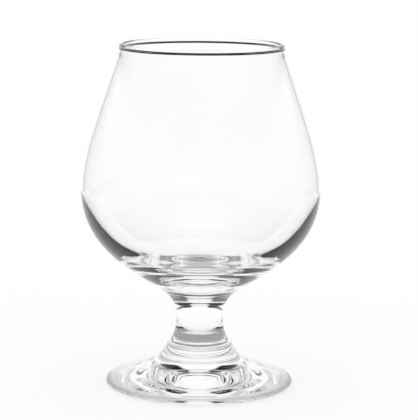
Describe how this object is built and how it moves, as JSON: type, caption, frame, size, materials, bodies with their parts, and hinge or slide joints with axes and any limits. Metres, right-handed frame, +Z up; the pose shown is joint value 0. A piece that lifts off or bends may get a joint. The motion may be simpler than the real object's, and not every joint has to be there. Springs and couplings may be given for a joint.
{
  "type": "brandy snifter",
  "caption": "Footed snifter glass: a wide bowl narrowing to a rounded lip, with a thick base, on a short waisted stem and a domed disc foot.",
  "frame": {"origin": "centre of the plane that the foot rests on", "axes": "+Z up along the glass's axis of revolution, from the foot to the mouth; X and Y are level and interchangeable"},
  "size_m": [0.0884, 0.0884, 0.127],
  "materials": {
    "clear_glass": "clear, fire-polished"
  },
  "bodies": {
    "root": {"bowl": "clear_glass", "stem": "clear_glass", "foot": "clear_glass"}
  },
  "joints": []
}
